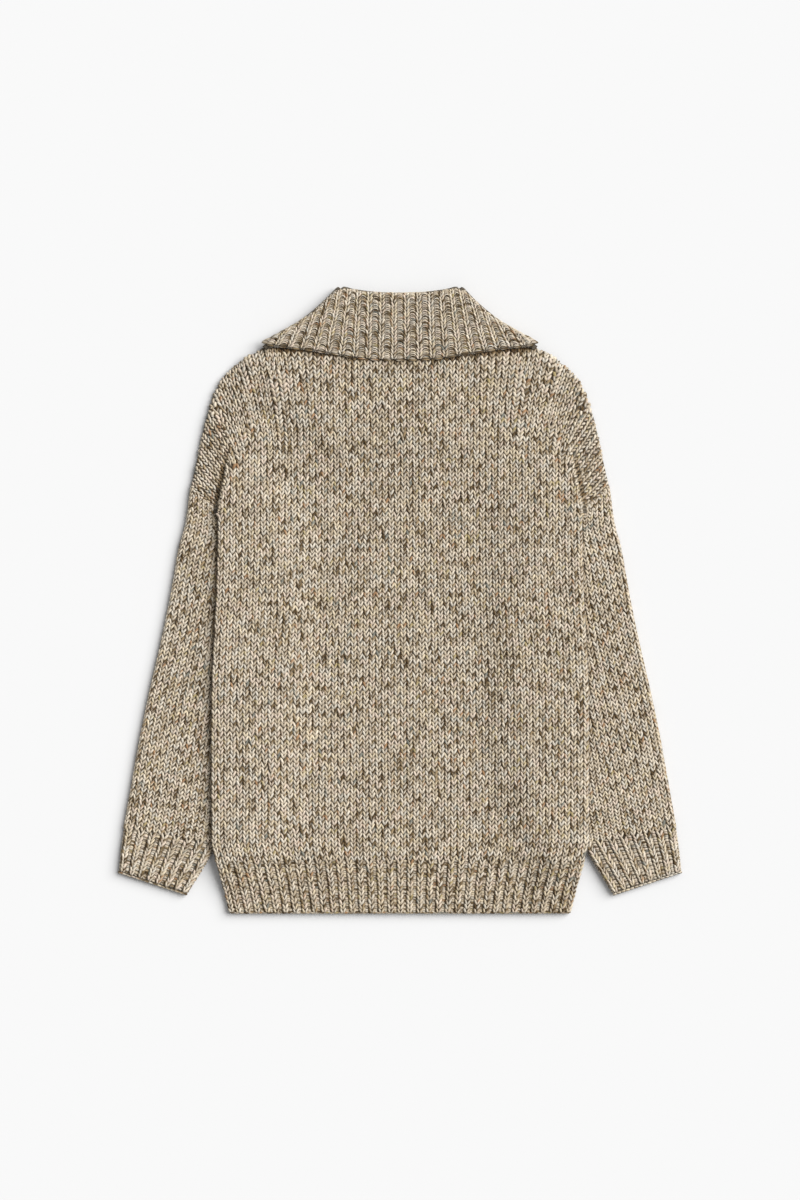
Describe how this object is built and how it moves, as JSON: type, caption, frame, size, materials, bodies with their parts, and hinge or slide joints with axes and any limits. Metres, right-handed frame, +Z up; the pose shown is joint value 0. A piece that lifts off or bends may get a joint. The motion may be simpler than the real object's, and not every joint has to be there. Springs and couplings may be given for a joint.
{
  "type": "polo collar cardigan laid flat",
  "caption": "Chunky marl-knit cardigan with a folded rib polo collar, drop shoulders, rib cuffs and hem, laid face down with its back up.",
  "frame": {"origin": "centre of the cardigan's footprint on the surface that it lies on", "axes": "+X to the right as seen from above with the collar away from the viewer, +Y from the hem to the collar, +Z up from the surface"},
  "size_m": [0.6752, 0.7511, 0.0183],
  "materials": {
    "knit": "chunky stockinette in a cream, brown and ochre marl yarn",
    "rib": "1x1 rib in the same marl yarn",
    "button": "plain dark brown"
  },
  "bodies": {
    "root": {"back": "knit", "front_left": "knit", "front_right": "knit", "sleeve_left": "knit", "sleeve_right": "knit", "back_hem_rib": "rib", "front_left_hem_rib": "rib", "front_right_hem_rib": "rib", "cuff_left": "rib", "cuff_right": "rib", "collar": "rib", "placket_outer": "rib", "placket_inner": "rib", "button_1": "button", "button_2": "button", "button_3": "button", "button_4": "button", "button_5": "button"}
  },
  "joints": []
}
